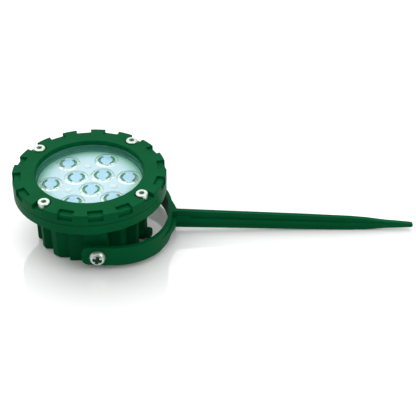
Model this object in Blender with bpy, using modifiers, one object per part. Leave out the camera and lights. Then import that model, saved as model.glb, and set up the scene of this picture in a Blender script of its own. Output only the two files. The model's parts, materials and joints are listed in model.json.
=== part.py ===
"""Underwater pond light: a round die-cast LED head on a U-shaped yoke with a ground spike.

The light lies face up. The head's axis is Z, the pivot axis runs along Y and the
spike points along +X, sloping a little so that its lower edge rests on the ground (z = 0).
All lengths are in metres.
"""
from math import copysign, cos, pi, radians, sin

import bmesh
import bpy
from mathutils import Matrix, Vector

MM = 0.001
GAP = 0.3 * MM

# ---- head: bezel and housing -------------------------------------------------------------
RIM_RADIUS = 60.8 * MM
FLANGE_RADIUS = 60.6 * MM
TOP_Z = 57.8 * MM
PARTING_Z = 48.8 * MM
FLANGE_TOP_Z = PARTING_Z - GAP
FLANGE_BOTTOM_Z = 40.0 * MM
HEAD_TURN = radians(8.5)

OPENING_TOP_RADIUS = 43.4 * MM
OPENING_LOW_RADIUS = 42.1 * MM
GASKET_POCKET_RADIUS = 46.5 * MM
GASKET_POCKET_TOP_Z = 54.3 * MM

NOTCH_PITCH = radians(22.5)
NOTCH_WIDTH = 11.7 * MM
NOTCH_DEPTH = 2.1 * MM
NOTCH_BACK_RADIUS = 53.7 * MM
NOTCH_STEP_RADIUS = 59.0 * MM
NOTCH_STEP_DEPTH = 5.8 * MM

RIM_SCREW_CIRCLE = 52.9 * MM
RIM_SCREW_SLOT_WIDTH = 11.3 * MM
RIM_SCREW_SEAT_Z = 54.0 * MM
RIM_SCREW_ANGLES = [radians(45 + 90 * k) for k in range(4)]

CORE_TOP_RADIUS = 37.6 * MM
CORE_BOTTOM_RADIUS = 36.8 * MM
CORE_BOTTOM_Z = 0.0 * MM
CAVITY_RADIUS = 32.6 * MM
BOARD_BORE_RADIUS = 35.0 * MM
LENS_BORE_RADIUS = 40.9 * MM
PLATE_BORE_RADIUS = 41.9 * MM
CAVITY_FLOOR_Z = 3.6 * MM
BOARD_LEDGE_Z = 37.1 * MM
PLATE_LEDGE_Z = 46.3 * MM
GASKET_SEAT_Z = 47.6 * MM

FIN_TOP_RADIUS = 45.3 * MM
FIN_BOTTOM_RADIUS = 44.7 * MM
# The middle fin is shorter, so that the yoke's crown swings past it.
MIDDLE_FIN_REACH = 44.0 * MM
FIN_BOTTOM_Z = 0.25 * MM
FIN_THICKNESS = 3.0 * MM
FIN_CHAMFER = 1.2 * MM
FIN_ROWS = [y * MM for y in (0.0, 11.5, -11.5, 24.5, -24.5, 35.7, -35.7)]

# ---- cover glass and light engine ----------------------------------------------------------
GLASS_RADIUS = 45.0 * MM
GLASS_BOTTOM_Z = 49.0 * MM
GLASS_TOP_Z = 53.0 * MM
PLATE_RADIUS = 41.6 * MM
PLATE_BOTTOM_Z = 46.6 * MM
PLATE_TOP_Z = 48.2 * MM
BOARD_RADIUS = 34.7 * MM
BOARD_BOTTOM_Z = BOARD_LEDGE_Z + GAP
BOARD_TOP_Z = 39.0 * MM
OUTER_LENS_CIRCLE = 30.9 * MM
INNER_LENS_CIRCLE = 12.1 * MM
LENS_RADIUS = 9.5 * MM
LENS_BOTTOM_Z = 40.4 * MM
LENS_TOP_Z = 48.6 * MM
PLATE_SCREW_CIRCLE = 20.6 * MM
PLATE_SCREW_ANGLES = [radians(a) for a in (90, 210, 330)]
OUTER_LENS_ANGLES = [radians(60 * k) for k in range(6)]
INNER_LENS_ANGLES = [radians(a) for a in (-90, 30, 150)]

# ---- pivot, yoke and spike -----------------------------------------------------------------
PIVOT_X = 7.8 * MM
PIVOT_Z = 13.7 * MM
YOKE_SLOPE = radians(2.17)
BOSS_WIDTH = 18.4 * MM
BOSS_BOTTOM_Z = 4.6 * MM
BOSS_FACE = 46.2 * MM
SIDE_BLOCK_HALF = 15.3 * MM
SIDE_BLOCK_FACE = 41.0 * MM
ARM_INNER = 50.4 * MM
ARM_OUTER = 53.4 * MM
CROWN_INNER = 47.1 * MM
CROWN_OUTER = 50.3 * MM
STRAP_HALF = 8.3 * MM
ARM_END = -12.3 * MM
ARM_END_CORNER = 5.5 * MM
RING_CENTRE = 6.6 * MM
RING_SQUARENESS = 2.25
CROWN_FACE = 60.0 * MM
RIB_START = radians(43)
RIB_STOP = radians(7.5)
RIB_HEIGHT = 3.5 * MM
RIB_LOW = -2.2 * MM
RIB_HIGH = 2.7 * MM
STUB_HALF = 2.6 * MM
STUB_TALL = 8.1 * MM
PIVOT_SCREW_RADIUS = 3.0 * MM
PIVOT_BORE_RADIUS = 3.3 * MM

SPIKE_START = CROWN_FACE + GAP
SPIKE_TIP = 252.0 * MM
SPIKE_BLADE = 3.4 * MM
STUD_RADIUS = 2.0 * MM
STUD_BORE_RADIUS = 2.3 * MM
STUD_DEPTH = 9.0 * MM

# ---- cable gland ---------------------------------------------------------------------------
GLAND_ANGLE = radians(-14.5)
GLAND_Z = 5.4 * MM
GLAND_BORE_RADIUS = 3.4 * MM
GLAND_BOSS_RADIUS = 4.9 * MM
GLAND_BOSS_FACE = 44.5 * MM


def collection(name):
    coll = bpy.data.collections.new(name)
    bpy.context.scene.collection.children.link(coll)
    return coll


def clear_scene():
    for obj in list(bpy.data.objects):
        bpy.data.objects.remove(obj, do_unlink=True)


clear_scene()
PARTS = collection("underwater_pond_light")
TOOLS = collection("cutters_and_guides")


def material(name, colour, roughness, metallic, transmission=0.0):
    mat = bpy.data.materials.new(name)
    mat.use_nodes = True
    shader = mat.node_tree.nodes["Principled BSDF"]
    shader.inputs["Base Color"].default_value = (*colour, 1.0)
    shader.inputs["Roughness"].default_value = roughness
    shader.inputs["Metallic"].default_value = metallic
    shader.inputs["Transmission Weight"].default_value = transmission
    return mat


def green_coat(name):
    return material(name, (0.005, 0.115, 0.045), 0.42, 0.0)


def stainless_steel(name):
    return material(name, (0.72, 0.74, 0.72), 0.28, 1.0)


def black_rubber(name):
    return material(name, (0.015, 0.016, 0.016), 0.7, 0.0)


def white_plastic(name):
    return material(name, (0.82, 0.87, 0.9), 0.45, 0.0)


def clear_glass(name):
    return material(name, (0.92, 0.98, 0.96), 0.03, 0.0, 1.0)


def clear_acrylic(name):
    return material(name, (0.95, 0.97, 0.97), 0.06, 0.0, 1.0)


def add_object(name, mesh, coll, mat=None):
    obj = bpy.data.objects.new(name, mesh)
    coll.objects.link(obj)
    if mat is not None:
        mesh.materials.clear()
        mesh.materials.append(mat)
    return obj


def hide_tool(obj):
    obj.hide_render = True
    obj.display_type = "WIRE"


def smooth(obj, angle=radians(35)):
    obj.data.shade_smooth()
    obj.data.set_sharp_from_angle(angle=angle)


def bmesh_object(name, bm, coll, mat=None):
    bmesh.ops.recalc_face_normals(bm, faces=bm.faces)
    mesh = bpy.data.meshes.new(name)
    bm.to_mesh(mesh)
    bm.free()
    return add_object(name, mesh, coll, mat)


def evaluated_mesh(obj):
    """Mesh of a helper object with its modifiers or bevel carried out; the helper is removed."""
    bpy.context.view_layer.update()
    mesh = bpy.data.meshes.new_from_object(obj.evaluated_get(bpy.context.evaluated_depsgraph_get()))
    bpy.data.objects.remove(obj, do_unlink=True)
    bm = bmesh.new()
    bm.from_mesh(mesh)
    bmesh.ops.remove_doubles(bm, verts=bm.verts, dist=1e-6)
    bmesh.ops.recalc_face_normals(bm, faces=bm.faces)
    bm.to_mesh(mesh)
    bm.free()
    return mesh


def turned_mesh(name, profile, segments, closed=False):
    """Solid of revolution about Z from (radius, height) points listed down the outer side."""
    bm = bmesh.new()
    points = [bm.verts.new((radius, 0.0, height)) for radius, height in profile]
    for upper, lower in zip(points[:-1], points[1:]):
        bm.edges.new((upper, lower))
    if closed:
        bm.edges.new((points[-1], points[0]))
    section = bpy.data.meshes.new(name + "_section")
    bm.to_mesh(section)
    bm.free()
    guide = add_object(name + "_section", section, TOOLS)
    screw = guide.modifiers.new("turn", "SCREW")
    screw.axis = "Z"
    screw.angle = 2 * pi
    screw.steps = segments
    screw.render_steps = segments
    screw.use_merge_vertices = True
    screw.merge_threshold = 1e-6
    mesh = evaluated_mesh(guide)
    mesh.name = name
    return mesh


def turned(name, profile, segments, mat, closed=False):
    obj = add_object(name, turned_mesh(name, profile, segments, closed), PARTS, mat)
    smooth(obj)
    return obj


def extruded(name, outline, low, high, coll, mat=None):
    """Prism standing on a closed outline of (x, y) points, from z = low to z = high."""
    bm = bmesh.new()
    base = bm.faces.new([bm.verts.new((x, y, low)) for x, y in outline])
    grown = bmesh.ops.extrude_face_region(bm, geom=[base])
    top = [item for item in grown["geom"] if isinstance(item, bmesh.types.BMVert)]
    bmesh.ops.translate(bm, verts=top, vec=(0.0, 0.0, high - low))
    return bmesh_object(name, bm, coll, mat)


def box(name, low, high, coll, mat=None):
    bm = bmesh.new()
    bmesh.ops.create_cube(bm, size=1.0)
    low = Vector(low)
    high = Vector(high)
    bmesh.ops.scale(bm, verts=bm.verts, vec=high - low)
    bmesh.ops.translate(bm, verts=bm.verts, vec=(low + high) / 2)
    return bmesh_object(name, bm, coll, mat)


def join_into(target, others):
    """Merge the meshes of several cutters into one cutter, keeping their placing."""
    bm = bmesh.new()
    for obj in [target] + others:
        part = obj.data.copy()
        part.transform(obj.matrix_basis)
        bm.from_mesh(part)
        bpy.data.meshes.remove(part)
    target.matrix_basis = Matrix.Identity(4)
    bm.to_mesh(target.data)
    bm.free()
    for obj in others:
        bpy.data.objects.remove(obj, do_unlink=True)
    hide_tool(target)
    return target


def boolean(obj, tool, operation):
    mod = obj.modifiers.new(operation.lower() + "_" + tool.name, "BOOLEAN")
    mod.operation = operation
    mod.solver = "EXACT"
    mod.object = tool
    return mod


def bevel(obj, width, segments=1, angle=radians(40)):
    mod = obj.modifiers.new("edge_round", "BEVEL")
    mod.width = width
    mod.segments = segments
    mod.limit_method = "ANGLE"
    mod.angle_limit = angle
    mod.use_clamp_overlap = True
    return mod


def placing(radius, angle, height):
    return Matrix.Rotation(angle, 4, "Z") @ Matrix.Translation((radius, 0.0, height))


def outward(radius, angle, height):
    """Frame whose local +Z points away from the head's axis."""
    return placing(radius, angle, height) @ Matrix.Rotation(radians(90), 4, "Y")


def cylinder(name, radius, low, high, segments):
    bm = bmesh.new()
    bmesh.ops.create_cone(bm, cap_ends=True, segments=segments,
                          radius1=radius, radius2=radius, depth=high - low)
    bmesh.ops.translate(bm, verts=bm.verts, vec=(0.0, 0.0, (low + high) / 2))
    return bmesh_object(name, bm, TOOLS)


# ---- screws --------------------------------------------------------------------------------
def cross_recess(name, span, width, depth):
    """Tapered plus-shaped recess cutter with its mouth at z = 0."""
    arm = span * 0.56
    half = width * 0.56
    plus = [(half, -arm), (half, -half), (arm, -half), (arm, half), (half, half), (half, arm),
            (-half, arm), (-half, half), (-arm, half), (-arm, -half), (-half, -half), (-half, -arm)]
    tool = extruded(name, plus, -depth, depth * 0.5, TOOLS)
    for vertex in tool.data.vertices:
        if vertex.co.z < 0.0:
            vertex.co.x *= 0.46
            vertex.co.y *= 0.46
    hide_tool(tool)
    return tool


def pan_head_profile(head_radius, head_height, shank_radius, shank_length):
    return [
        (0.0, head_height),
        (0.45 * head_radius, 0.96 * head_height),
        (0.78 * head_radius, 0.76 * head_height),
        (0.96 * head_radius, 0.42 * head_height),
        (head_radius, 0.16 * head_height),
        (head_radius, 0.0),
        (shank_radius, 0.0),
        (shank_radius, -shank_length + 0.3 * MM),
        (shank_radius - 0.3 * MM, -shank_length),
        (0.0, -shank_length),
    ]


def pan_screw(name, head_radius, head_height, shank_radius, shank_length, frame, segments=24):
    profile = pan_head_profile(head_radius, head_height, shank_radius, shank_length)
    obj = turned(name, profile, segments, stainless_steel(name + "_steel"))
    obj.matrix_basis = frame
    span = head_radius * 1.4
    tool = cross_recess(name + "_recess", span, span * 0.36, head_height * 0.62)
    lean = Matrix.Rotation(radians(-12), 4, "Z")
    tool.matrix_basis = frame @ Matrix.Translation((0, 0, head_height)) @ lean
    boolean(obj, tool, "DIFFERENCE")
    return obj


def cap_screw(name, head_radius, head_height, shank_radius, shank_length, frame):
    """Cylindrical-head screw with a hexagon socket."""
    edge = 0.6 * MM
    profile = [
        (0.0, head_height),
        (head_radius - edge, head_height),
        (head_radius, head_height - edge),
        (head_radius, 0.0),
        (shank_radius, 0.0),
        (shank_radius, -shank_length + 0.3 * MM),
        (shank_radius - 0.3 * MM, -shank_length),
        (0.0, -shank_length),
    ]
    obj = turned(name, profile, 20, stainless_steel(name + "_steel"))
    obj.matrix_basis = frame
    socket = cylinder(name + "_socket", 2.3 * MM, head_height - 2.4 * MM, head_height + MM, 6)
    socket.matrix_basis = frame
    hide_tool(socket)
    boolean(obj, socket, "DIFFERENCE")
    return obj


# ---- bezel ---------------------------------------------------------------------------------
def notch_cutter():
    """The plain rim notches: a shallow pocket in the face and a deeper step at the rim."""
    step_r = NOTCH_STEP_RADIUS
    half = NOTCH_WIDTH / 2
    over = 1.5 * MM
    profile = [
        (NOTCH_BACK_RADIUS, TOP_Z + over),
        (NOTCH_BACK_RADIUS, TOP_Z - NOTCH_DEPTH),
        (step_r, TOP_Z - NOTCH_DEPTH),
        (step_r, TOP_Z - NOTCH_STEP_DEPTH),
        (RIM_RADIUS + over, TOP_Z - NOTCH_STEP_DEPTH),
        (RIM_RADIUS + over, TOP_Z + over),
    ]
    upright = Matrix.Rotation(radians(90), 4, "X")
    pieces = []
    for k in range(16):
        if k % 4 == 2:
            continue
        piece = extruded("rim_notch_%02d" % k, profile, -half, half, TOOLS)
        piece.matrix_basis = Matrix.Rotation(k * NOTCH_PITCH, 4, "Z") @ upright
        pieces.append(piece)
    tool = join_into(pieces[0], pieces[1:])
    tool.name = "rim_notches"
    return tool


def rim_screw_cutter():
    """Open slots with a round inner end and a clearance hole for each bezel screw."""
    half = RIM_SCREW_SLOT_WIDTH / 2
    pieces = []
    for k, angle in enumerate(RIM_SCREW_ANGLES):
        outline = [(RIM_RADIUS - RIM_SCREW_CIRCLE + 2 * MM, half)]
        outline += [(half * cos(a), half * sin(a)) for a in [radians(90 + 15 * i) for i in range(13)]]
        outline += [(RIM_RADIUS - RIM_SCREW_CIRCLE + 2 * MM, -half)]
        slot = extruded("screw_slot_%d" % k, outline, RIM_SCREW_SEAT_Z, TOP_Z + 1.5 * MM, TOOLS)
        slot.matrix_basis = placing(RIM_SCREW_CIRCLE, angle, 0)
        pieces.append(slot)
    tool = join_into(pieces[0], pieces[1:])
    tool.name = "rim_screw_slots"
    return tool


def screw_hole_cutter(name, radius, low, high):
    pieces = []
    for k, angle in enumerate(RIM_SCREW_ANGLES):
        hole = cylinder("%s_%d" % (name, k), radius, low, high, 20)
        hole.matrix_basis = placing(RIM_SCREW_CIRCLE, angle, 0)
        pieces.append(hole)
    tool = join_into(pieces[0], pieces[1:])
    tool.name = name
    return tool


def build_bezel():
    profile = [
        (OPENING_TOP_RADIUS, TOP_Z),
        (RIM_RADIUS - 0.5 * MM, TOP_Z),
        (RIM_RADIUS, TOP_Z - 0.5 * MM),
        (RIM_RADIUS, PARTING_Z + 0.3 * MM),
        (RIM_RADIUS - 0.3 * MM, PARTING_Z),
        (GASKET_POCKET_RADIUS, PARTING_Z),
        (GASKET_POCKET_RADIUS, GASKET_POCKET_TOP_Z),
        (OPENING_LOW_RADIUS, GASKET_POCKET_TOP_Z),
        (OPENING_TOP_RADIUS - 0.5 * MM, TOP_Z - 0.6 * MM),
    ]
    obj = turned("bezel_ring", profile, 80, green_coat("bezel_green_coat"), closed=True)
    obj.rotation_euler.z = HEAD_TURN
    for tool in (notch_cutter(), rim_screw_cutter(),
                 screw_hole_cutter("bezel_screw_holes", 2.9 * MM, PARTING_Z - 2 * MM, TOP_Z)):
        tool.matrix_basis = Matrix.Rotation(HEAD_TURN, 4, "Z")
        boolean(obj, tool, "DIFFERENCE")
    return obj


def build_bezel_screws():
    for k, angle in enumerate(RIM_SCREW_ANGLES):
        frame = placing(RIM_SCREW_CIRCLE, angle + HEAD_TURN, RIM_SCREW_SEAT_Z + GAP)
        cap_screw("bezel_screw_%d" % (k + 1), 4.85 * MM, 4.6 * MM, 2.5 * MM, 11.4 * MM, frame)


# ---- cover glass and gasket ----------------------------------------------------------------
def build_glass():
    edge = 0.4 * MM
    profile = [
        (0.0, GLASS_TOP_Z),
        (GLASS_RADIUS - edge, GLASS_TOP_Z),
        (GLASS_RADIUS, GLASS_TOP_Z - edge),
        (GLASS_RADIUS, GLASS_BOTTOM_Z + edge),
        (GLASS_RADIUS - edge, GLASS_BOTTOM_Z),
        (0.0, GLASS_BOTTOM_Z),
    ]
    return turned("cover_glass", profile, 48, clear_glass("cover_glass_clear"))


def build_gasket():
    outer = GASKET_POCKET_RADIUS - GAP
    wall = GLASS_RADIUS + GAP
    top = GASKET_POCKET_TOP_Z - GAP
    bottom = GASKET_SEAT_Z + GAP
    profile = [
        (outer, top),
        (outer, bottom),
        (42.4 * MM, bottom),
        (42.4 * MM, GLASS_BOTTOM_Z - GAP),
        (wall, GLASS_BOTTOM_Z - GAP),
        (wall, GLASS_TOP_Z + GAP),
        (42.5 * MM, GLASS_TOP_Z + GAP),
        (42.5 * MM, top),
    ]
    silicone = material("gasket_silicone", (0.30, 0.50, 0.42), 0.45, 0.0)
    return turned("glass_gasket", profile, 48, silicone, closed=True)


# ---- housing -------------------------------------------------------------------------------
def fin_set():
    """Parallel upright fins running along X, trimmed to a slightly tapered drum."""
    top = FLANGE_BOTTOM_Z + 1.5 * MM
    half = FIN_THICKNESS / 2
    pieces = []
    for k, y in enumerate(FIN_ROWS):
        reach = MIDDLE_FIN_REACH if y == 0.0 else FIN_TOP_RADIUS
        pieces.append(box("fin_%02d" % k, (-reach, y - half, FIN_BOTTOM_Z), (reach, y + half, top), TOOLS))
    fins = join_into(pieces[0], pieces[1:])
    fins.name = "cooling_fins"
    return fins


def side_blocks():
    """Thicker blocks at both sides of the drum that carry the pivot bosses."""
    pieces = []
    for sign in (-1, 1):
        near = min(sign * 30 * MM, sign * SIDE_BLOCK_FACE)
        far = max(sign * 30 * MM, sign * SIDE_BLOCK_FACE)
        low = (-SIDE_BLOCK_HALF, near, FIN_BOTTOM_Z)
        high = (SIDE_BLOCK_HALF, far, FLANGE_BOTTOM_Z + 1.5 * MM)
        pieces.append(box("side_block_%d" % (sign + 1), low, high, TOOLS))
    blocks = join_into(pieces[0], pieces[1:])
    blocks.name = "side_blocks"
    return blocks


def drum_envelope():
    top = FLANGE_BOTTOM_Z + 1.2 * MM
    profile = [
        (0.0, top),
        (FIN_TOP_RADIUS, top),
        (FIN_BOTTOM_RADIUS, FIN_BOTTOM_Z + FIN_CHAMFER),
        (FIN_BOTTOM_RADIUS - FIN_CHAMFER, FIN_BOTTOM_Z - 0.01 * MM),
        (0.0, FIN_BOTTOM_Z - 0.01 * MM),
    ]
    drum = add_object("drum_envelope", turned_mesh("drum_envelope", profile, 96), TOOLS)
    hide_tool(drum)
    return drum


def pivot_bosses():
    half = BOSS_WIDTH / 2
    pieces = []
    for sign in (-1, 1):
        near = min(sign * 36.0 * MM, sign * BOSS_FACE)
        far = max(sign * 36.0 * MM, sign * BOSS_FACE)
        low = (PIVOT_X - half - 1.5 * MM, near, BOSS_BOTTOM_Z)
        high = (PIVOT_X + half - 1.5 * MM, far, FLANGE_BOTTOM_Z + 0.9 * MM)
        pieces.append(box("pivot_boss_%d" % (sign + 1), low, high, TOOLS))
    tool = join_into(pieces[0], pieces[1:])
    tool.name = "pivot_bosses"
    return tool


def cavity_cutter():
    """Everything hollow inside the housing, from the driver space up to the gasket seat."""
    over = FLANGE_TOP_Z + 3 * MM
    profile = [
        (0.0, over),
        (GASKET_POCKET_RADIUS, over),
        (GASKET_POCKET_RADIUS, GASKET_SEAT_Z),
        (PLATE_BORE_RADIUS, GASKET_SEAT_Z),
        (PLATE_BORE_RADIUS, PLATE_LEDGE_Z),
        (LENS_BORE_RADIUS, PLATE_LEDGE_Z),
        (LENS_BORE_RADIUS, 44.2 * MM),
        (36.7 * MM, 40.2 * MM),
        (BOARD_BORE_RADIUS, 39.3 * MM),
        (BOARD_BORE_RADIUS, BOARD_LEDGE_Z),
        (CAVITY_RADIUS, BOARD_LEDGE_Z),
        (CAVITY_RADIUS, CAVITY_FLOOR_Z),
        (0.0, CAVITY_FLOOR_Z),
    ]
    cutter = add_object("housing_cavity", turned_mesh("housing_cavity", profile, 72), TOOLS)
    hide_tool(cutter)
    return cutter


def bore_along(name, radius, low, high, frame):
    bore = cylinder(name, radius, low, high, 24)
    bore.matrix_basis = frame
    hide_tool(bore)
    return bore


def pivot_bores():
    bores = []
    for sign in (-1, 1):
        turn = Matrix.Rotation(-sign * radians(90), 4, "X")
        frame = Matrix.Translation((PIVOT_X, 0, PIVOT_Z)) @ turn
        bores.append(bore_along("pivot_bore_%d" % (sign + 1), PIVOT_BORE_RADIUS, 36.2 * MM, 48 * MM, frame))
    tool = join_into(bores[0], bores[1:])
    tool.name = "pivot_bores"
    return tool


def build_housing():
    floor_edge = 1.0 * MM
    profile = [
        (0.0, FLANGE_TOP_Z),
        (FLANGE_RADIUS - 0.3 * MM, FLANGE_TOP_Z),
        (FLANGE_RADIUS, FLANGE_TOP_Z - 0.3 * MM),
        (FLANGE_RADIUS, FLANGE_BOTTOM_Z + 0.8 * MM),
        (FLANGE_RADIUS - 0.8 * MM, FLANGE_BOTTOM_Z),
        (CORE_TOP_RADIUS + 2.2 * MM, FLANGE_BOTTOM_Z),
        (CORE_TOP_RADIUS, FLANGE_BOTTOM_Z - 2.2 * MM),
        (CORE_BOTTOM_RADIUS, CORE_BOTTOM_Z + floor_edge),
        (CORE_BOTTOM_RADIUS - floor_edge, CORE_BOTTOM_Z),
        (0.0, CORE_BOTTOM_Z),
    ]
    obj = turned("housing_body", profile, 72, green_coat("housing_green_coat"))
    fins = fin_set()
    blocks = side_blocks()
    drum = drum_envelope()
    for tool in (fins, blocks):
        boolean(tool, drum, "INTERSECT")
        boolean(obj, tool, "UNION")
    boolean(obj, pivot_bosses(), "UNION")
    place = outward(GLAND_BOSS_FACE, GLAND_ANGLE, GLAND_Z)
    boolean(obj, bore_along("gland_boss", GLAND_BOSS_RADIUS, -9 * MM, 0.0, place), "UNION")
    boolean(obj, cavity_cutter(), "DIFFERENCE")
    boolean(obj, bore_along("gland_bore", GLAND_BORE_RADIUS, -15 * MM, 4 * MM, place), "DIFFERENCE")
    bores = screw_hole_cutter("housing_screw_bores", 2.8 * MM, 42.2 * MM, FLANGE_TOP_Z + 2 * MM)
    bores.matrix_basis = Matrix.Rotation(HEAD_TURN, 4, "Z")
    boolean(obj, bores, "DIFFERENCE")
    boolean(obj, pivot_bores(), "DIFFERENCE")
    return obj


# ---- light engine --------------------------------------------------------------------------
def lens_places():
    places = [(OUTER_LENS_CIRCLE, a + HEAD_TURN) for a in OUTER_LENS_ANGLES]
    places += [(INNER_LENS_CIRCLE, a + HEAD_TURN) for a in INNER_LENS_ANGLES]
    return places


def build_board():
    profile = [(0.0, BOARD_TOP_Z), (BOARD_RADIUS, BOARD_TOP_Z),
               (BOARD_RADIUS, BOARD_BOTTOM_Z), (0.0, BOARD_BOTTOM_Z)]
    obj = turned("led_board", profile, 48, material("led_board_aluminium", (0.78, 0.8, 0.82), 0.4, 0.6))
    holes = []
    for k, (x, y) in enumerate(((-3.5 * MM, -24 * MM), (3.5 * MM, -24 * MM))):
        hole = cylinder("board_wire_hole_%d" % k, 1.3 * MM, 36 * MM, 41 * MM, 12)
        hole.matrix_basis = Matrix.Rotation(HEAD_TURN, 4, "Z") @ Matrix.Translation((x, y, 0))
        holes.append(hole)
    tool = join_into(holes[0], holes[1:])
    tool.name = "board_wire_holes"
    boolean(obj, tool, "DIFFERENCE")
    return obj


def build_lens_plate():
    profile = [(0.0, PLATE_TOP_Z), (PLATE_RADIUS, PLATE_TOP_Z),
               (PLATE_RADIUS, PLATE_BOTTOM_Z), (0.0, PLATE_BOTTOM_Z)]
    obj = turned("lens_plate", profile, 48, white_plastic("lens_plate_white"))
    pieces = []
    for k, (radius, angle) in enumerate(lens_places()):
        hole = cylinder("lens_hole_%d" % k, LENS_RADIUS + GAP, PLATE_BOTTOM_Z - MM, PLATE_TOP_Z + MM, 24)
        hole.matrix_basis = placing(radius, angle, 0)
        pieces.append(hole)
    for k, angle in enumerate(PLATE_SCREW_ANGLES):
        hole = cylinder("plate_hole_%d" % k, 1.8 * MM, PLATE_BOTTOM_Z - MM, PLATE_TOP_Z + MM, 12)
        hole.matrix_basis = placing(PLATE_SCREW_CIRCLE, angle + HEAD_TURN, 0)
        pieces.append(hole)
    tool = join_into(pieces[0], pieces[1:])
    tool.name = "lens_plate_holes"
    boolean(obj, tool, "DIFFERENCE")
    return obj


def build_lenses():
    profile = [
        (0.0, LENS_TOP_Z - 1.6 * MM),
        (3.9 * MM, LENS_TOP_Z - 1.6 * MM),
        (4.1 * MM, LENS_TOP_Z),
        (LENS_RADIUS, LENS_TOP_Z),
        (LENS_RADIUS, LENS_TOP_Z - 3.0 * MM),
        (LENS_RADIUS - 0.9 * MM, LENS_TOP_Z - 4.2 * MM),
        (5.2 * MM, LENS_BOTTOM_Z),
        (3.1 * MM, LENS_BOTTOM_Z),
        (3.0 * MM, LENS_BOTTOM_Z + 2.9 * MM),
        (0.0, LENS_BOTTOM_Z + 2.9 * MM),
    ]
    for k, (radius, angle) in enumerate(lens_places()):
        name = "lens_%d" % (k + 1)
        obj = turned(name, profile, 18, clear_acrylic(name + "_acrylic"))
        obj.matrix_basis = placing(radius, angle, 0)


def build_leds():
    base = BOARD_TOP_Z + GAP
    dome = 1.7 * MM
    profile = [
        (0.0, base + 2.6 * MM),
        (dome * 0.7, base + 2.1 * MM),
        (dome, base + 0.9 * MM),
        (2.4 * MM, base + 0.9 * MM),
        (2.4 * MM, base),
        (0.0, base),
    ]
    for k, (radius, angle) in enumerate(lens_places()):
        name = "led_%d" % (k + 1)
        obj = turned(name, profile, 12, material(name + "_emitter", (0.95, 0.85, 0.45), 0.35, 0.0))
        obj.matrix_basis = placing(radius, angle, 0)


def build_plate_screws():
    head_low = PLATE_TOP_Z + GAP
    for k, angle in enumerate(PLATE_SCREW_ANGLES):
        place = placing(PLATE_SCREW_CIRCLE, angle + HEAD_TURN, 0)
        screw = [
            (0.0, head_low + 0.35 * MM),
            (2.2 * MM, head_low + 0.32 * MM),
            (3.0 * MM, head_low),
            (1.5 * MM, head_low),
            (1.5 * MM, 42.4 * MM),
            (0.0, 42.4 * MM),
        ]
        name = "plate_screw_%d" % (k + 1)
        obj = turned(name, screw, 14, stainless_steel(name + "_steel"))
        obj.matrix_basis = place
        spacer = [
            (1.8 * MM, PLATE_BOTTOM_Z - GAP),
            (3.1 * MM, PLATE_BOTTOM_Z - GAP),
            (3.1 * MM, BOARD_TOP_Z + GAP),
            (1.8 * MM, BOARD_TOP_Z + GAP),
        ]
        name = "standoff_%d" % (k + 1)
        brass = material(name + "_brass", (0.75, 0.58, 0.25), 0.35, 1.0)
        post = add_object(name, turned_mesh(name, spacer, 12, closed=True), PARTS, brass)
        smooth(post)
        post.matrix_basis = place


def build_driver():
    floor = CAVITY_FLOOR_Z + GAP
    low = (-24 * MM, -17 * MM, floor)
    high = (14 * MM, 17 * MM, 21 * MM)
    obj = box("led_driver", low, high, PARTS, material("driver_potting", (0.03, 0.03, 0.035), 0.55, 0.0))
    bevel(obj, 1.2 * MM, 2)
    smooth(obj)
    block = box("terminal_block", (14.6 * MM, -8 * MM, floor), (22 * MM, 6 * MM, 13 * MM), PARTS,
                material("terminal_block_grey", (0.5, 0.52, 0.52), 0.5, 0.0))
    pieces = []
    for k, y in enumerate((-5.2 * MM, -1.0 * MM, 3.2 * MM)):
        entry = cylinder("terminal_entry_%d" % k, 1.2 * MM, 0.0, 6 * MM, 12)
        place = Matrix.Translation((17.5 * MM, y, 6.8 * MM))
        entry.matrix_basis = place @ Matrix.Rotation(radians(90), 4, "Y")
        pieces.append(entry)
    tool = join_into(pieces[0], pieces[1:])
    tool.name = "terminal_entries"
    boolean(block, tool, "DIFFERENCE")
    bevel(block, 0.5 * MM)


def wire(name, points, radius, mat):
    curve = bpy.data.curves.new(name + "_path", "CURVE")
    curve.dimensions = "3D"
    curve.bevel_depth = radius
    curve.bevel_resolution = 1
    curve.resolution_u = 4
    curve.use_fill_caps = True
    spline = curve.splines.new("BEZIER")
    spline.bezier_points.add(len(points) - 1)
    for knot, co in zip(spline.bezier_points, points):
        knot.co = co
        knot.handle_left_type = "AUTO"
        knot.handle_right_type = "AUTO"
    guide = bpy.data.objects.new(name + "_path", curve)
    TOOLS.objects.link(guide)
    mesh = evaluated_mesh(guide)
    obj = add_object(name, mesh, PARTS, mat)
    smooth(obj)
    return obj


def build_wires():
    red = material("wire_red_jacket", (0.45, 0.02, 0.015), 0.45, 0.0)
    black = material("wire_black_jacket", (0.02, 0.02, 0.02), 0.45, 0.0)
    turn = Matrix.Rotation(HEAD_TURN, 4, "Z")
    for name, x, mat in (("wire_positive", -3.5 * MM, red), ("wire_negative", 3.5 * MM, black)):
        knee = Vector((x * 1.3, -22.5 * MM, 24 * MM))
        points = [
            Vector((x, -11 * MM, 21.4 * MM + 1.2 * MM)),
            Vector((x * 1.2, -17 * MM, 24.5 * MM)),
            knee,
            turn @ Vector((x, -24 * MM, 33 * MM)),
            turn @ Vector((x, -24 * MM, 40.2 * MM)),
        ]
        wire(name, points, 0.8 * MM, mat)


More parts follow.
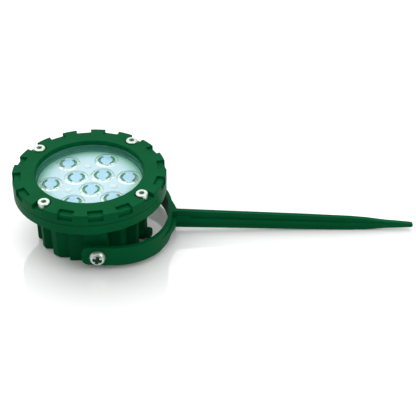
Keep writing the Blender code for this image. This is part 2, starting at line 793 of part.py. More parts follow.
# ---- cable gland ---------------------------------------------------------------------------
def build_gland():
    place = outward(GLAND_BOSS_FACE, GLAND_ANGLE, GLAND_Z)
    seal = [(4.2 * MM, 0.8 * MM), (4.2 * MM, GAP), (GLAND_BORE_RADIUS, GAP), (GLAND_BORE_RADIUS, 0.8 * MM)]
    ring = turned("gland_o_ring", seal, 18, black_rubber("gland_o_ring_rubber"), closed=True)
    ring.matrix_basis = place
    body_profile = [
        (3.0 * MM, 4.0 * MM),
        (3.0 * MM, 2.4 * MM),
        (4.5 * MM, 2.4 * MM),
        (4.5 * MM, 1.1 * MM),
        (3.0 * MM, 1.1 * MM),
        (3.0 * MM, -9.6 * MM),
        (2.0 * MM, -9.6 * MM),
        (2.0 * MM, 4.0 * MM),
    ]
    body = turned("gland_body", body_profile, 18, green_coat("gland_body_green"), closed=True)
    body.matrix_basis = place
    nut_profile = [
        (2.1 * MM, 5.2 * MM),
        (3.2 * MM, 5.2 * MM),
        (4.2 * MM, 4.6 * MM),
        (4.7 * MM, 3.6 * MM),
        (4.7 * MM, 2.7 * MM),
        (3.3 * MM, 2.7 * MM),
        (3.3 * MM, 4.3 * MM),
        (2.1 * MM, 4.3 * MM),
    ]
    nut = turned("gland_dome_nut", nut_profile, 20, green_coat("gland_nut_green"), closed=True)
    nut.matrix_basis = place
    insert_profile = [
        (1.2 * MM, 4.9 * MM),
        (1.7 * MM, 4.9 * MM),
        (1.7 * MM, -2.0 * MM),
        (1.2 * MM, -2.0 * MM),
    ]
    insert = turned("gland_seal_insert", insert_profile, 14,
                    black_rubber("gland_insert_rubber"), closed=True)
    insert.matrix_basis = place


# ---- pivot, yoke and spike -----------------------------------------------------------------
def build_pivot_fasteners():
    for sign, side in ((-1, "front"), (1, "rear")):
        turn = Matrix.Translation((PIVOT_X, 0, PIVOT_Z)) @ Matrix.Rotation(-sign * radians(90), 4, "X")
        frame = turn @ Matrix.Translation((0, 0, ARM_OUTER + GAP))
        pan_screw("pivot_screw_" + side, 6.4 * MM, 5.4 * MM, PIVOT_SCREW_RADIUS, 15.8 * MM, frame, 24)
        low = BOSS_FACE + GAP
        high = ARM_INNER - GAP
        ring = [(5.3 * MM, high), (5.3 * MM, low), (3.4 * MM, low), (3.4 * MM, high)]
        washer = turned("friction_washer_" + side, ring, 24,
                        material("washer_nylon_" + side, (0.02, 0.03, 0.025), 0.5, 0.0), closed=True)
        washer.matrix_basis = turn


def yoke_frame():
    empty = bpy.data.objects.new("yoke_pivot", None)
    PARTS.objects.link(empty)
    empty.location = (PIVOT_X, 0.0, PIVOT_Z)
    empty.rotation_euler = (0.0, YOKE_SLOPE, 0.0)
    return empty


def ring_point(along, across, angle):
    """Point of the strap's ring, a slightly squared ellipse with these half axes."""
    power = 2.0 / RING_SQUARENESS
    x = RING_CENTRE + along * abs(cos(angle)) ** power
    y = across * copysign(abs(sin(angle)) ** power, angle)
    return (x, y)


def strap_outline():
    steps = 40
    arc = [-pi / 2 + pi * k / steps for k in range(steps + 1)]
    outer = [ring_point(CROWN_OUTER, ARM_OUTER, a) for a in arc]
    inner = [ring_point(CROWN_INNER, ARM_INNER, a) for a in reversed(arc)]
    return ([(ARM_END, -ARM_OUTER)] + outer + [(ARM_END, ARM_OUTER), (ARM_END, ARM_INNER)]
            + inner + [(ARM_END, -ARM_INNER)])


def end_corner_cutter():
    """Rounds the two corners at the free end of each arm, seen from the side."""
    r = ARM_END_CORNER
    pieces = []
    for sign in (-1, 1):
        arc = [radians(9 * k) for k in range(11)]
        outline = [
            (ARM_END - 2 * MM, sign * (STRAP_HALF + 2 * MM)),
            (ARM_END - 2 * MM, sign * (STRAP_HALF - r)),
        ]
        outline += [(ARM_END + r - r * cos(a), sign * (STRAP_HALF - r + r * sin(a))) for a in arc]
        outline += [(ARM_END + r, sign * (STRAP_HALF + 2 * MM))]
        piece = extruded("end_corner_%d" % (sign + 1), outline, -60 * MM, 60 * MM, TOOLS)
        piece.matrix_basis = Matrix.Rotation(radians(90), 4, "X")
        pieces.append(piece)
    tool = join_into(pieces[0], pieces[1:])
    tool.name = "arm_end_corners"
    return tool


def rib_outline():
    """Flare of the outer rib, rising from the ring to the face that the spike stands on."""
    steps = 12
    half = []
    for k in range(steps + 1):
        a = RIB_START + (RIB_STOP - RIB_START) * k / steps
        rise = RIB_HEIGHT * (k / steps) ** 2 if k else -0.4 * MM
        half.append(ring_point(CROWN_OUTER + rise, ARM_OUTER + rise, a))
    sweep = [RIB_START * (1 - k / steps) for k in range(2 * steps + 1)]
    inner = [ring_point(CROWN_OUTER - 1.5 * MM, ARM_OUTER - 1.5 * MM, a) for a in sweep]
    half[-1] = (CROWN_FACE, half[-1][1])
    mirrored = [(x, -y) for x, y in reversed(half)]
    return half + mirrored + list(reversed(inner))


def build_yoke(frame):
    obj = extruded("yoke", strap_outline(), -STRAP_HALF, STRAP_HALF, PARTS, green_coat("yoke_green_coat"))
    obj.parent = frame
    rib = extruded("yoke_rib", rib_outline(), RIB_LOW, RIB_HIGH, TOOLS)
    root = RING_CENTRE + CROWN_OUTER - 1.0 * MM
    stub = box("spike_stub", (root, -STUB_HALF, -STUB_TALL), (CROWN_FACE, STUB_HALF, STUB_TALL), TOOLS)
    corners = end_corner_cutter()
    holes = []
    for sign in (-1, 1):
        turn = Matrix.Rotation(-sign * radians(90), 4, "X")
        holes.append(bore_along("arm_hole_%d" % (sign + 1), PIVOT_BORE_RADIUS, 47 * MM, 56 * MM, turn))
    across = Matrix.Rotation(radians(90), 4, "Y")
    holes.append(bore_along("crown_hole", STUD_BORE_RADIUS, 50 * MM, 66 * MM, across))
    hole_tool = join_into(holes[0], holes[1:])
    hole_tool.name = "yoke_holes"
    for tool in (rib, stub, corners, hole_tool):
        hide_tool(tool)
        tool.parent = frame
    boolean(obj, rib, "UNION")
    boolean(obj, stub, "UNION")
    boolean(obj, corners, "DIFFERENCE")
    boolean(obj, hole_tool, "DIFFERENCE")
    smooth(obj)
    return obj


def blade(name, outline, low, high):
    """Plate with the given (x, half height) edge, mirrored above and below the spike axis."""
    points = list(outline) + [(x, -h) for x, h in reversed(outline)]
    return extruded(name, points, low, high, TOOLS)


def build_spike(frame):
    start = SPIKE_START
    tip = SPIKE_TIP
    tall = [(start, 8.1 * MM), (120 * MM, 7.3 * MM), (160 * MM, 6.8 * MM), (200 * MM, 5.9 * MM),
            (213 * MM, 5.1 * MM), (221 * MM, 4.1 * MM), (229 * MM, 3.1 * MM), (240 * MM, 2.4 * MM),
            (tip - 1.0 * MM, 1.5 * MM), (tip, 0.8 * MM)]
    wide = [(start + 0.4 * MM, 3.6 * MM), (200 * MM, 2.5 * MM), (230 * MM, 2.2 * MM),
            (244 * MM, 1.9 * MM), (248 * MM, 1.3 * MM)]
    half = SPIKE_BLADE / 2
    points = list(tall) + [(x, -h) for x, h in reversed(tall)]
    obj = extruded("ground_spike", points, -half, half, PARTS, green_coat("spike_green_coat"))
    obj.data.transform(Matrix.Rotation(radians(90), 4, "X"))
    obj.parent = frame
    across = Matrix.Rotation(radians(90), 4, "Y")
    cross = blade("spike_cross_blade", wide, -half - 0.1 * MM, half + 0.1 * MM)
    hub_profile = [(0.0, start + 11.5 * MM), (2.2 * MM, start + 11.5 * MM), (3.4 * MM, start + 9.5 * MM),
                   (3.5 * MM, start + 0.2 * MM), (0.0, start + 0.2 * MM)]
    hub = add_object("spike_hub", turned_mesh("spike_hub", hub_profile, 24), TOOLS)
    hub.matrix_basis = across
    bore = bore_along("spike_bore", STUD_BORE_RADIUS, start - MM, start + STUD_DEPTH, across)
    for tool in (cross, hub, bore):
        hide_tool(tool)
        tool.parent = frame
    boolean(obj, cross, "UNION")
    boolean(obj, hub, "UNION")
    boolean(obj, bore, "DIFFERENCE")
    smooth(obj, radians(28))
    return obj


def build_spike_stud(frame):
    low = RING_CENTRE + CROWN_INNER + 0.4 * MM
    high = SPIKE_START + STUD_DEPTH - GAP
    edge = 0.4 * MM
    profile = [(0.0, high), (STUD_RADIUS - edge, high), (STUD_RADIUS, high - edge),
               (STUD_RADIUS, low + edge), (STUD_RADIUS - edge, low), (0.0, low)]
    stud = turned("spike_stud", profile, 16, stainless_steel("spike_stud_steel"))
    stud.parent = frame
    stud.matrix_basis = Matrix.Rotation(radians(90), 4, "Y")


def main():
    build_bezel()
    build_bezel_screws()
    build_glass()
    build_gasket()
    build_housing()
    build_board()
    build_lens_plate()
    build_lenses()
    build_leds()
    build_plate_screws()
    build_driver()
    build_wires()
    build_gland()
    build_pivot_fasteners()
    frame = yoke_frame()
    build_yoke(frame)
    build_spike(frame)
    build_spike_stud(frame)


main()
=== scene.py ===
"""Underwater pond light: looks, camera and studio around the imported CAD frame."""
import json
from math import cos, pi, radians, sin

import bmesh
import bpy
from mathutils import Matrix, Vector


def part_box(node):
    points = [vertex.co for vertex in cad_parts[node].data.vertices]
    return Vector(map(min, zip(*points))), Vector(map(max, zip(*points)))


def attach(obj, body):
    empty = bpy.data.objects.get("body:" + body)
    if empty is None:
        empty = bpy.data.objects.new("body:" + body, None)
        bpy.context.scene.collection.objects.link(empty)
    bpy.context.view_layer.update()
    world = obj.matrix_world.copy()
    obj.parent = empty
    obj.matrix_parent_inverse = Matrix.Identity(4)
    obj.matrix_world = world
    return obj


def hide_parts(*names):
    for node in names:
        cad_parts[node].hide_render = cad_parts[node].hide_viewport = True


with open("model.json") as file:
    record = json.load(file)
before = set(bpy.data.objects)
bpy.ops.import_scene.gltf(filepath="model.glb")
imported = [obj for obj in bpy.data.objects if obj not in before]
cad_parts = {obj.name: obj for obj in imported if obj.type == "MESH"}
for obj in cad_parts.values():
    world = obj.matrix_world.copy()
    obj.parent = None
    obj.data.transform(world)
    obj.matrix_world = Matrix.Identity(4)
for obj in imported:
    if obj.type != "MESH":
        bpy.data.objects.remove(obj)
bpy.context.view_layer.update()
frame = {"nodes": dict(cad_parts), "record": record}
nodes = frame["nodes"]

MM = 0.001
BUMP_DEPTH = 0.1 * MM


# ---- shader helpers --------------------------------------------------------------------------
def new_material(name):
    mat = bpy.data.materials.new(name)
    mat.use_nodes = True
    tree = mat.node_tree
    shader = tree.nodes["Principled BSDF"]
    return mat, tree, shader


def noise(tree, scale, detail, rough, coords):
    node = tree.nodes.new("ShaderNodeTexNoise")
    node.inputs["Scale"].default_value = scale
    node.inputs["Detail"].default_value = detail
    node.inputs["Roughness"].default_value = rough
    tree.links.new(coords, node.inputs["Vector"])
    return node.outputs["Fac"]


def object_coords(tree):
    return tree.nodes.new("ShaderNodeTexCoord").outputs["Object"]


def ramp(tree, source, stops):
    node = tree.nodes.new("ShaderNodeValToRGB")
    elements = node.color_ramp.elements
    elements[0].position, elements[0].color = stops[0][0], (*stops[0][1], 1.0)
    elements[1].position, elements[1].color = stops[-1][0], (*stops[-1][1], 1.0)
    for position, colour in stops[1:-1]:
        element = elements.new(position)
        element.color = (*colour, 1.0)
    tree.links.new(source, node.inputs["Fac"])
    return node.outputs["Color"]


def remap(tree, source, low, high):
    node = tree.nodes.new("ShaderNodeMapRange")
    node.inputs["To Min"].default_value = low
    node.inputs["To Max"].default_value = high
    tree.links.new(source, node.inputs["Value"])
    return node.outputs["Result"]


def bump(tree, shader, height, strength):
    node = tree.nodes.new("ShaderNodeBump")
    node.inputs["Strength"].default_value = strength
    node.inputs["Distance"].default_value = BUMP_DEPTH
    tree.links.new(height, node.inputs["Height"])
    tree.links.new(node.outputs["Normal"], shader.inputs["Normal"])


# ---- materials -------------------------------------------------------------------------------
def green_coat():
    """Satin green powder coat over a casting: fine orange peel, slight tone drift."""
    mat, tree, shader = new_material("green_powder_coat")
    coords = object_coords(tree)
    drift = noise(tree, 35.0, 3.0, 0.5, coords)
    colour = ramp(tree, drift, [(0.3, (0.0, 0.068, 0.020)), (0.7, (0.0, 0.080, 0.026))])
    tree.links.new(colour, shader.inputs["Base Color"])
    grain = noise(tree, 1500.0, 2.0, 0.6, coords)
    tree.links.new(remap(tree, grain, 0.30, 0.48), shader.inputs["Roughness"])
    bump(tree, shader, grain, 0.10)
    shader.inputs["Specular IOR Level"].default_value = 0.025
    return mat


def steel():
    mat, tree, shader = new_material("stainless_steel")
    coords = object_coords(tree)
    shader.inputs["Metallic"].default_value = 1.0
    grain = noise(tree, 1500.0, 3.0, 0.6, coords)
    # The steel's green tint is painted reflection of the green coat around it.
    tree.links.new(ramp(tree, grain, [(0.3, (0.46, 0.56, 0.49)), (0.7, (0.60, 0.69, 0.62))]),
                   shader.inputs["Base Color"])
    tree.links.new(remap(tree, grain, 0.30, 0.46), shader.inputs["Roughness"])
    bump(tree, shader, grain, 0.05)
    return mat


def rubber():
    mat, tree, shader = new_material("black_rubber")
    coords = object_coords(tree)
    grain = noise(tree, 1800.0, 2.0, 0.5, coords)
    tree.links.new(ramp(tree, grain, [(0.3, (0.008, 0.009, 0.009)), (0.7, (0.02, 0.022, 0.021))]),
                   shader.inputs["Base Color"])
    tree.links.new(remap(tree, grain, 0.5, 0.75), shader.inputs["Roughness"])
    bump(tree, shader, grain, 0.15)
    return mat


def silicone():
    """Gasket of milky translucent silicone, drawn opaque; its green colour is painted reflection of
    the green parts around it.
    """
    mat, tree, shader = new_material("clear_silicone")
    coords = object_coords(tree)
    cloud = noise(tree, 220.0, 2.0, 0.5, coords)
    tree.links.new(ramp(tree, cloud, [(0.3, (0.03, 0.20, 0.13)), (0.7, (0.05, 0.27, 0.18))]),
                   shader.inputs["Base Color"])
    tree.links.new(remap(tree, cloud, 0.25, 0.4), shader.inputs["Roughness"])
    return mat


def painted_glow(tree, shader, tint):
    """Painted light: a weak glow in the part's own colour, standing in for studio light reaching it
    through the cover glass; the lamp itself is unlit.
    """
    tree.links.new(tint, shader.inputs["Base Color"])
    tree.links.new(tint, shader.inputs["Emission Color"])
    shader.inputs["Emission Strength"].default_value = 0.12


def distance_from_axis(tree, coords, start, end):
    """0 inside the start radius to 1 outside the end radius, round the object's Z axis."""
    flat = tree.nodes.new("ShaderNodeVectorMath")
    flat.operation = "MULTIPLY"
    flat.inputs[1].default_value = (1.0, 1.0, 0.0)
    tree.links.new(coords, flat.inputs[0])
    length = tree.nodes.new("ShaderNodeVectorMath")
    length.operation = "LENGTH"
    tree.links.new(flat.outputs["Vector"], length.inputs[0])
    rim = tree.nodes.new("ShaderNodeMapRange")
    rim.inputs["From Min"].default_value = start
    rim.inputs["From Max"].default_value = end
    tree.links.new(length.outputs["Value"], rim.inputs["Value"])
    return rim.outputs["Result"]


def lens_plate():
    """White plate, with painted green reflection and painted shade from the bezel's wall round its
    rim.
    """
    mat, tree, shader = new_material("white_lens_plate")
    coords = object_coords(tree)
    # Painted shade and green reflection: the colour darkens to green from 26 mm out to the rim at 42
    # mm.
    rim = distance_from_axis(tree, coords, 26 * MM, 42 * MM)
    stops = [
        (0.0, (0.52, 0.64, 0.73)),
        (0.35, (0.48, 0.63, 0.70)),
        (0.7, (0.30, 0.50, 0.46)),
        (1.0, (0.07, 0.26, 0.18)),
    ]
    painted_glow(tree, shader, ramp(tree, rim, stops))
    grain = noise(tree, 1600.0, 2.0, 0.5, coords)
    tree.links.new(remap(tree, grain, 0.4, 0.55), shader.inputs["Roughness"])
    shader.inputs["Specular IOR Level"].default_value = 0.2
    bump(tree, shader, grain, 0.05)
    return mat


def glass():
    """Nearly clear glass with a slight green body colour and a thin film of dirt."""
    mat, tree, shader = new_material("toughened_glass")
    coords = object_coords(tree)
    shader.inputs["Base Color"].default_value = (0.15, 0.50, 0.38, 1.0)
    shader.inputs["Alpha"].default_value = 0.08
    shader.inputs["IOR"].default_value = 1.5
    film = noise(tree, 60.0, 2.0, 0.5, coords)
    tree.links.new(remap(tree, film, 0.0, 0.03), shader.inputs["Roughness"])
    return mat


def acrylic():
    mat, tree, shader = new_material("clear_acrylic")
    coords = object_coords(tree)
    shader.inputs["Base Color"].default_value = (0.95, 0.975, 0.985, 1.0)
    shader.inputs["Transmission Weight"].default_value = 0.85
    shader.inputs["IOR"].default_value = 1.49
    film = noise(tree, 200.0, 2.0, 0.5, coords)
    tree.links.new(remap(tree, film, 0.02, 0.1), shader.inputs["Roughness"])
    return mat


def plastic(name, low, high, rough_low, rough_high, scale=1600.0, strength=0.1):
    mat, tree, shader = new_material(name)
    coords = object_coords(tree)
    grain = noise(tree, scale, 2.0, 0.5, coords)
    tree.links.new(ramp(tree, grain, [(0.3, low), (0.7, high)]), shader.inputs["Base Color"])
    tree.links.new(remap(tree, grain, rough_low, rough_high), shader.inputs["Roughness"])
    bump(tree, shader, grain, strength)
    return mat


def brass():
    mat, tree, shader = new_material("plain_brass")
    coords = object_coords(tree)
    shader.inputs["Metallic"].default_value = 1.0
    grain = noise(tree, 1500.0, 3.0, 0.6, coords)
    tree.links.new(ramp(tree, grain, [(0.3, (0.6, 0.42, 0.16)), (0.7, (0.75, 0.56, 0.25))]),
                   shader.inputs["Base Color"])
    tree.links.new(remap(tree, grain, 0.2, 0.4), shader.inputs["Roughness"])
    return mat


MATERIALS = {
    "green_coat": green_coat(),
    "stainless_steel": steel(),
    "black_rubber": rubber(),
    "cover_glass": glass(),
    "clear_acrylic": acrylic(),
    "white_plastic": lens_plate(),
    "led_emitter": plastic("led_emitter", (0.85, 0.75, 0.32), (0.92, 0.82, 0.42), 0.25, 0.35),
    "led_board": plastic("led_board_mask", (0.75, 0.77, 0.78), (0.82, 0.84, 0.85), 0.35, 0.45),
    "brass": brass(),
    "driver_potting": plastic("driver_potting", (0.012, 0.012, 0.014), (0.03, 0.03, 0.033),
                              0.4, 0.6, 300.0, 0.3),
    "grey_plastic": plastic("terminal_grey", (0.18, 0.19, 0.19), (0.24, 0.25, 0.25), 0.4, 0.55),
    "red_jacket": plastic("wire_red", (0.42, 0.012, 0.01), (0.5, 0.02, 0.015), 0.35, 0.5),
    "black_jacket": plastic("wire_black", (0.012, 0.012, 0.012), (0.02, 0.02, 0.02), 0.35, 0.5),
    "black_nylon": plastic("black_nylon", (0.006, 0.012, 0.009), (0.012, 0.02, 0.016), 0.4, 0.55),
    "clear_silicone": silicone(),
}


# The small steel screws in the plate are drawn pale: painted reflection of the plate's pale colour in
# their heads.
PALE_SCREW = plastic("screw_painted_plate_reflection", (0.62, 0.70, 0.72), (0.72, 0.80, 0.82), 0.3, 0.4)


def dress_cad_nodes():
    for part in frame["record"]["subparts"]:
        obj = nodes[part["node"]]
        obj.data.materials.clear()
        obj.data.materials.append(MATERIALS[part["material_slot"]])
        # Plate screws take the pale painted-reflection colour in place of steel.
        if part["node"].startswith("plate_screw"):
            obj.data.materials[0] = PALE_SCREW


dress_cad_nodes()


# ---- cast and turned parts with rounded edges ------------------------------------------------
SLOT_OF = {part["node"]: part["material_slot"] for part in frame["record"]["subparts"]}
BODY_OF = {}
for body, members in frame["record"]["behaviour"]["bodies"].items():
    for member in members:
        BODY_OF[member] = body


def stand_in(piece, node):
    """Let a finished piece take the place of one CAD node."""
    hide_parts(node)
    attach(piece, BODY_OF[node])


ROOT_STEPS = 0.8 * MM
ROOT_OVERLAP = 0.5 * MM


def close_root_gap(mesh):
    """Flatten the spike's stepped root just inside the crown, so that no light shows between them."""
    joints = frame["record"]["behaviour"]["joints"]
    swivel = [joint for joint in joints if joint["name"] == "spike_swivel"][0]
    origin = Vector(swivel["pos_m"])
    axis = Vector(swivel["axis"]).normalized()
    for vertex in mesh.vertices:
        reach = (vertex.co - origin).dot(axis)
        if reach < ROOT_STEPS:
            vertex.co -= axis * (reach + ROOT_OVERLAP)


def painted_recess_shade(name, low, high):
    """Painted shade: a dark colour for the walls and floor of a driver recess, where shade falls."""
    return plastic(name, low, high, 0.6, 0.8, 900.0, 0.2)


RECESS_DEPTH = 3.4 * MM
RECESS_RADIUS = 4.2 * MM
# Painted shade in the screw recesses: dark green in the cross recesses, grey-green in the sockets.
CROSS_RECESS = painted_recess_shade("cross_recess_painted_shade", (0.01, 0.05, 0.03), (0.04, 0.10, 0.06))
SOCKET_RECESS = painted_recess_shade("socket_recess_painted_shade", (0.16, 0.23, 0.18), (0.28, 0.36, 0.30))


def off_axis(offset, axis):
    return (offset - axis * axis.dot(offset)).length


def darken_recess(mesh, axis, shade_material):
    """Give the walls and floor of a screw's recess the painted-shade material."""
    top = max(axis.dot(vertex.co) for vertex in mesh.vertices)
    crown = [vertex.co for vertex in mesh.vertices if axis.dot(vertex.co) > top - 1.2 * MM]
    middle = Vector((0.0, 0.0, 0.0))
    for co in crown:
        middle += co / len(crown)
    reach = min(RECESS_RADIUS, 0.86 * max(off_axis(co - middle, axis) for co in crown))
    mesh.materials.append(shade_material)
    for face in mesh.polygons:
        depth = top - axis.dot(face.center)
        wall = abs(face.normal.dot(axis)) < 0.75
        floor = depth > 1.1 * MM
        if off_axis(face.center - middle, axis) < reach and depth < RECESS_DEPTH and (wall or floor):
            face.material_index = 1


def merged_copy(node):
    """Copy of a CAD node with its flat facets merged into single faces."""
    mesh = nodes[node].data.copy()
    if node == "ground_spike":
        close_root_gap(mesh)
    bm = bmesh.new()
    bm.from_mesh(mesh)
    bmesh.ops.remove_doubles(bm, verts=bm.verts, dist=1e-6)
    bmesh.ops.dissolve_limit(bm, angle_limit=radians(1.0), verts=bm.verts, edges=bm.edges)
    bmesh.ops.dissolve_degenerate(bm, dist=1e-5, edges=bm.edges)
    bm.to_mesh(mesh)
    bm.free()
    return mesh


def rounded(node, width, drive_axis=None, shade_material=None):
    """Copy of a CAD node with its edges rounded as casting and turning leave them."""
    piece = bpy.data.objects.new(node + "_finished", merged_copy(node))
    bpy.context.scene.collection.objects.link(piece)
    edge = piece.modifiers.new("rounded_edges", "BEVEL")
    edge.width = width
    edge.segments = 2
    edge.limit_method = "ANGLE"
    edge.angle_limit = radians(28)
    edge.use_clamp_overlap = True
    edge.miter_outer = "MITER_ARC"
    graph = bpy.context.evaluated_depsgraph_get()
    solid = bpy.data.meshes.new_from_object(piece.evaluated_get(graph))
    piece.modifiers.clear()
    piece.data = solid
    solid.shade_smooth()
    solid.set_sharp_from_angle(angle=radians(40))
    normals = piece.modifiers.new("face_weighted", "WEIGHTED_NORMAL")
    normals.keep_sharp = True
    solid.materials.clear()
    solid.materials.append(MATERIALS[SLOT_OF[node]])
    if drive_axis is not None:
        darken_recess(solid, drive_axis, shade_material)
    stand_in(piece, node)


EDGE_WIDTHS = {
    "bezel_ring": 0.35 * MM,
    "housing_body": 0.40 * MM,
    "yoke": 0.55 * MM,
    "ground_spike": 0.45 * MM,
    "gland_dome_nut": 0.25 * MM,
}


def build_rounded_parts():
    for node, width in EDGE_WIDTHS.items():
        rounded(node, width)
    rounded("pivot_screw_front", 0.14 * MM, Vector((0, -1, 0)), CROSS_RECESS)
    rounded("pivot_screw_rear", 0.14 * MM, Vector((0, 1, 0)), CROSS_RECESS)
    for k in range(4):
        rounded("bezel_screw_%d" % (k + 1), 0.18 * MM, Vector((0, 0, 1)), SOCKET_RECESS)


build_rounded_parts()


# ---- lenses ----------------------------------------------------------------------------------
LENS_COUNT = 9
LENS_FACETS = 18
COLLAR, HEART, PAINTED_GROOVE_SHADOW, HOLDER = range(4)


def lens_collar():
    """Bright faceted collar: its sparkle is painted glints, bright patches in its colour, on top of
    the light its cut faces catch.
    """
    mat, tree, shader = new_material("lens_cut_collar")
    coords = object_coords(tree)
    shader.inputs["Metallic"].default_value = 0.3
    cloud = noise(tree, 520.0, 2.0, 0.6, coords)
    tree.links.new(ramp(tree, cloud, [(0.36, (0.42, 0.56, 0.48)), (0.50, (0.90, 0.96, 0.92))]),
                   shader.inputs["Base Color"])
    tree.links.new(remap(tree, cloud, 0.06, 0.2), shader.inputs["Roughness"])
    return mat


def lens_heart():
    """Pale blue middle of a lens, where the emitter's white base shows through, with a painted glow.
    """
    mat, tree, shader = new_material("lens_pale_heart")
    coords = object_coords(tree)
    cloud = noise(tree, 180.0, 2.0, 0.5, coords)
    painted_glow(tree, shader, ramp(tree, cloud, [(0.3, (0.34, 0.53, 0.70)), (0.7, (0.40, 0.59, 0.76))]))
    tree.links.new(remap(tree, cloud, 0.08, 0.2), shader.inputs["Roughness"])
    return mat


def lens_holder():
    """White holder round the lens, the same white as the plate."""
    return plastic("lens_white_skirt", (0.46, 0.60, 0.68), (0.54, 0.67, 0.75), 0.4, 0.55)


def lens_groove():
    """Green shadow between the collar and the heart."""
    mat, tree, shader = new_material("lens_green_well")
    coords = object_coords(tree)
    cloud = noise(tree, 300.0, 2.0, 0.5, coords)
    tree.links.new(ramp(tree, cloud, [(0.3, (0.03, 0.17, 0.11)), (0.7, (0.10, 0.30, 0.22))]),
                   shader.inputs["Base Color"])
    tree.links.new(remap(tree, cloud, 0.2, 0.4), shader.inputs["Roughness"])
    return mat


LENS_MATERIALS = (lens_collar(), lens_heart(), lens_groove(), lens_holder())


def lens_rings(low, high, foot, radius):
    """Radius and height of each ring, with the material of the band outside it."""
    return [
        (0.0, high - 0.15 * MM, HEART),
        (3.2 * MM, high - 0.15 * MM, HEART),
        (4.8 * MM, high - 0.25 * MM, PAINTED_GROOVE_SHADOW),
        (4.9 * MM, high - 1.0 * MM, PAINTED_GROOVE_SHADOW),
        (6.6 * MM, high - 1.0 * MM, PAINTED_GROOVE_SHADOW),
        (7.0 * MM, high - 0.05 * MM, COLLAR),
        (8.0 * MM, high - 0.95 * MM, COLLAR),
        (radius + 0.34 * MM, foot + 0.05 * MM, HOLDER),
        (radius, foot - 0.6 * MM, HOLDER),
        (radius - 0.6 * MM, foot - 2.0 * MM, HOLDER),
        (5.2 * MM, low, HOLDER),
        (0.0, low, HOLDER),
    ]


GROOVE_FLOOR = (3, 4)
STAGGERED_RING = 6


def is_side(angle):
    """True where the groove is open, at the lens's +X and -X sides."""
    return abs(cos(angle)) >= 0.6


def lens_loop(bm, index, ring, centre, high):
    """Vertices of one ring; the groove's floor is raised at the front and back."""
    radius, height, _ = ring
    if radius == 0.0:
        return [bm.verts.new((centre[0], centre[1], height))]
    shift = 0.5 if index == STAGGERED_RING else 0.0
    loop = []
    for k in range(LENS_FACETS):
        angle = 2 * pi * (k + shift) / LENS_FACETS
        level = height
        if index in GROOVE_FLOOR and not is_side(angle):
            level = high - 0.3 * MM
        x = centre[0] + radius * cos(angle)
        y = centre[1] + radius * sin(angle)
        loop.append(bm.verts.new((x, y, level)))
    return loop


def lens_mesh(name, centre, rings, high):
    """Many-faceted lens; its groove carries painted green shadow at both sides and runs out at the
    front and back.
    """
    bm = bmesh.new()
    loops = [lens_loop(bm, index, ring, centre, high) for index, ring in enumerate(rings)]
    for inner, outer, ring in zip(loops[:-1], loops[1:], rings):
        for k in range(LENS_FACETS):
            n = (k + 1) % LENS_FACETS
            corners = [inner[k % len(inner)], outer[k % len(outer)]]
            if len(outer) > 1:
                corners.append(outer[n])
            if len(inner) > 1:
                corners.append(inner[n])
            # Painted green shadow only at the lens's +X and -X sides; front and back groove faces take
            # the heart's colour.
            slot = ring[2]
            if slot == PAINTED_GROOVE_SHADOW and not is_side(2 * pi * (k + 0.5) / LENS_FACETS):
                slot = HEART
            bm.faces.new(corners).material_index = slot
    bmesh.ops.recalc_face_normals(bm, faces=bm.faces)
    mesh = bpy.data.meshes.new(name)
    bm.to_mesh(mesh)
    bm.free()
    for mat in LENS_MATERIALS:
        mesh.materials.append(mat)
    return mesh


def build_lenses():
    plate_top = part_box("lens_plate")[1][2]
    for k in range(LENS_COUNT):
        node = "lens_%d" % (k + 1)
        low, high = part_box(node)
        centre = ((low[0] + high[0]) / 2, (low[1] + high[1]) / 2)
        radius = (high[0] - low[0]) / 2
        top = high[2] - 0.05 * MM
        foot = min(plate_top, top - 1.6 * MM)
        rings = lens_rings(low[2] + 3.2 * MM, top, foot, radius)
        mesh = lens_mesh(node + "_cut", centre, rings, top)
        piece = bpy.data.objects.new(node + "_cut", mesh)
        bpy.context.scene.collection.objects.link(piece)
        stand_in(piece, node)


build_lenses()


# ---- floor, light and camera -----------------------------------------------------------------
FLOOR_HALF = 6.0


def build_floor():
    """Plain pale floor, polished enough to mirror the light weakly."""
    mesh = bpy.data.meshes.new("studio_floor")
    corners = [(x * FLOOR_HALF, y * FLOOR_HALF, 0) for x, y in ((-1, -1), (1, -1), (1, 1), (-1, 1))]
    mesh.from_pydata(corners, [], [(0, 1, 2, 3)])
    floor = bpy.data.objects.new("studio_floor", mesh)
    bpy.context.scene.collection.objects.link(floor)
    mat, _, shader = new_material("studio_white")
    shader.inputs["Base Color"].default_value = (0.93, 0.93, 0.93, 1.0)
    shader.inputs["Roughness"].default_value = 0.07
    shader.inputs["IOR"].default_value = 2.2
    mesh.materials.append(mat)


LIGHT_TARGET = Vector((0.05, 0, 0))


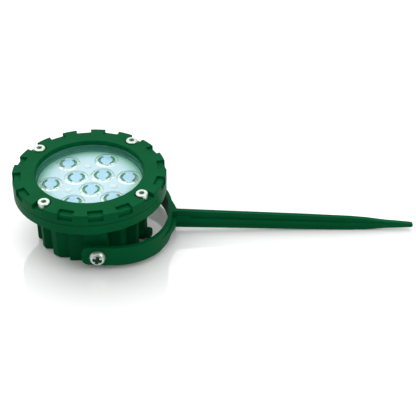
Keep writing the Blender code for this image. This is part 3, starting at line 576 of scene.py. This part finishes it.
def area_light(name, position, size, power):
    data = bpy.data.lights.new(name, "AREA")
    data.energy = power
    data.shape = "SQUARE"
    data.size = size
    light = bpy.data.objects.new(name, data)
    bpy.context.scene.collection.objects.link(light)
    light.location = position
    direction = LIGHT_TARGET - Vector(position)
    light.rotation_euler = direction.to_track_quat("-Z", "Y").to_euler()


def build_world():
    """White surroundings, bright above and behind on the left, dim low down in front."""
    world = bpy.data.worlds.new("studio_world")
    bpy.context.scene.world = world
    world.use_nodes = True
    tree = world.node_tree
    background = tree.nodes["Background"]
    background.inputs["Color"].default_value = (1.0, 1.0, 1.0, 1.0)
    lean = tree.nodes.new("ShaderNodeVectorMath")
    lean.operation = "DOT_PRODUCT"
    lean.inputs[1].default_value = (-0.35, 0.40, 0.85)
    tree.links.new(tree.nodes.new("ShaderNodeTexCoord").outputs["Generated"], lean.inputs[0])
    rise = tree.nodes.new("ShaderNodeMapRange")
    rise.inputs["From Min"].default_value = -0.4
    rise.inputs["From Max"].default_value = 0.9
    rise.inputs["To Min"].default_value = 0.05
    rise.inputs["To Max"].default_value = 1.25
    tree.links.new(lean.outputs["Value"], rise.inputs["Value"])
    tree.links.new(rise.outputs["Result"], background.inputs["Strength"])


def build_lights():
    area_light("key_overhead", (-0.45, 0.45, 1.5), 1.6, 13.5)
    area_light("fill_right", (1.1, -0.5, 0.7), 0.8, 6.5)


SENSOR_WIDTH = 36.0
IMAGE_WIDTH = 416
FOCAL_PIXELS = 1258.64


def build_camera():
    data = bpy.data.cameras.new("photo_camera")
    data.sensor_width = SENSOR_WIDTH
    data.lens = FOCAL_PIXELS / IMAGE_WIDTH * SENSOR_WIDTH
    data.clip_start = 0.01
    camera = bpy.data.objects.new("photo_camera", data)
    bpy.context.scene.collection.objects.link(camera)
    position = Vector((0.09077, -0.81710, 0.61911))
    target = Vector((0.093415, 0.0, 0.021106))
    camera.location = position
    camera.rotation_euler = (target - position).to_track_quat("-Z", "Y").to_euler()
    bpy.context.scene.camera = camera


build_floor()
build_world()
build_lights()
build_camera()
bpy.context.scene.view_settings.view_transform = "Standard"

bpy.context.view_layer.update()
